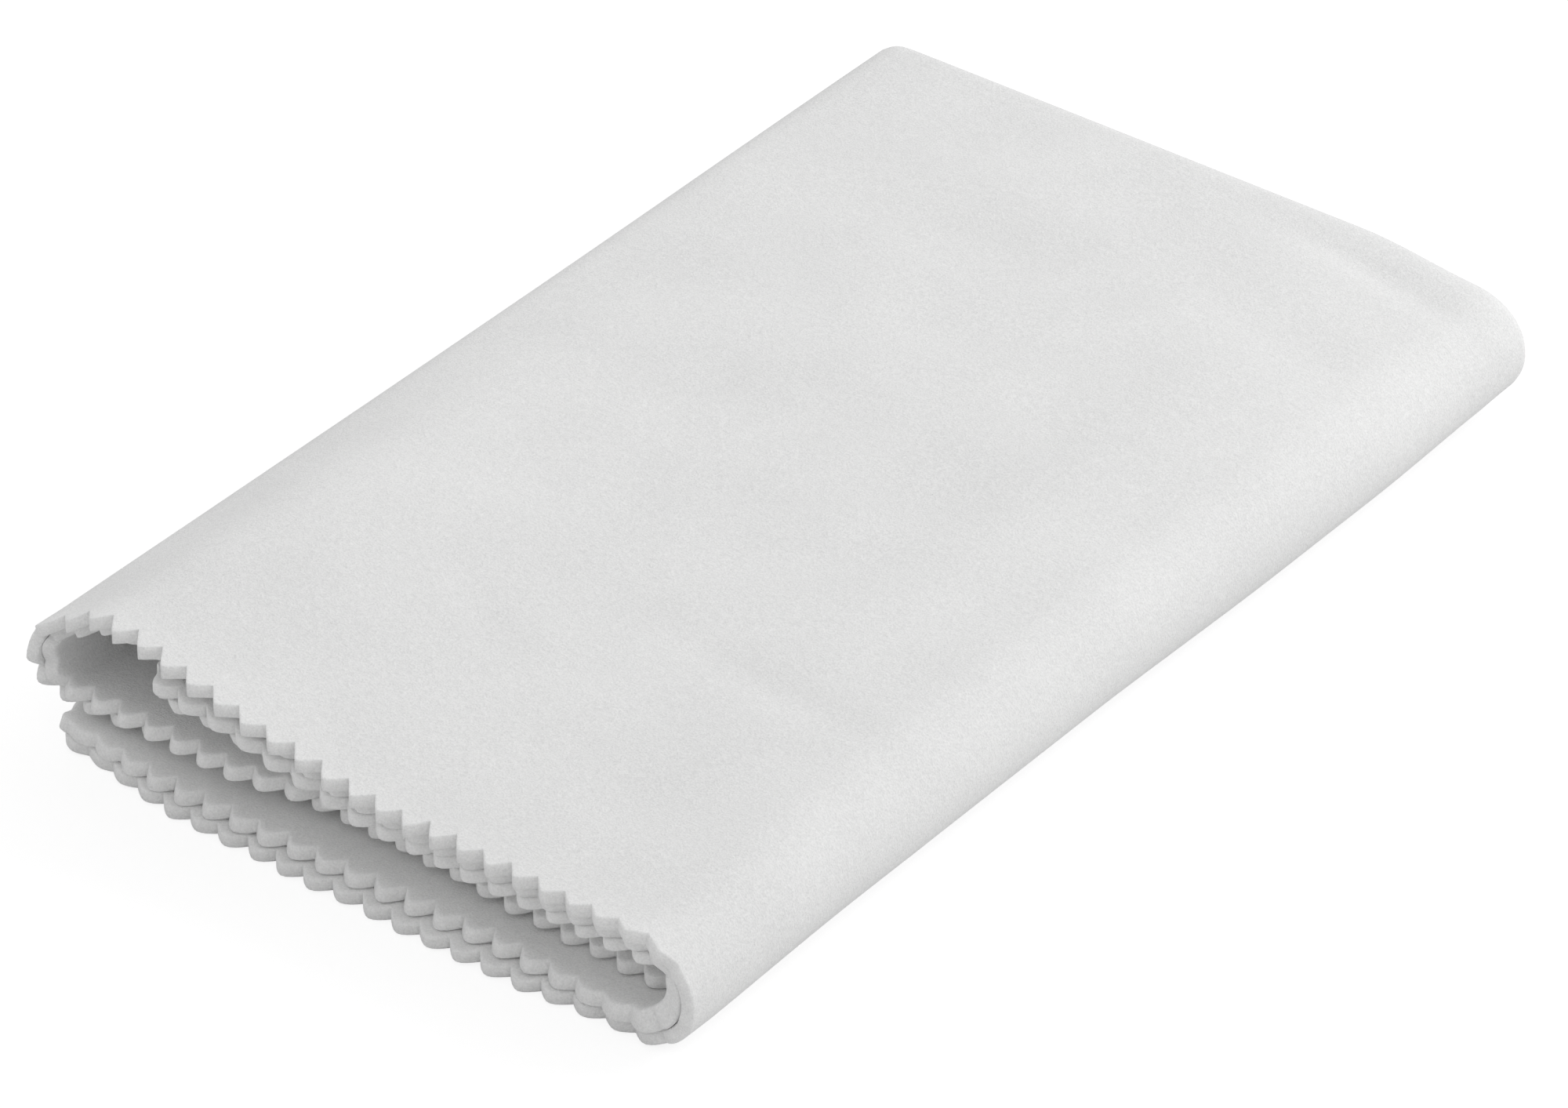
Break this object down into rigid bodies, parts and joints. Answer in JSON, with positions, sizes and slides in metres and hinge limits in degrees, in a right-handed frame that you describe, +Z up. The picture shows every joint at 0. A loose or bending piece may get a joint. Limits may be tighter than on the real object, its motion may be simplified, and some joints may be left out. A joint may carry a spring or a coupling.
{
  "type": "silver polishing cloth",
  "caption": "Soft brushed cotton polishing cloth with pinked ends, folded in half and rolled flat into a soft rectangular bundle.",
  "frame": {"origin": "centre of the folded cloth's footprint, on the surface that it lies on", "axes": "+Z up, away from the surface it lies on; +Y along the folded length, from the pinked ends to the far fold; +X across the folded width, towards the thick outer fold"},
  "size_m": [0.0918, 0.154, 0.0216],
  "materials": {
    "brushed_cotton": "soft napped off-white cotton"
  },
  "bodies": {
    "root": {"polishing_cloth": "brushed_cotton"}
  },
  "joints": []
}
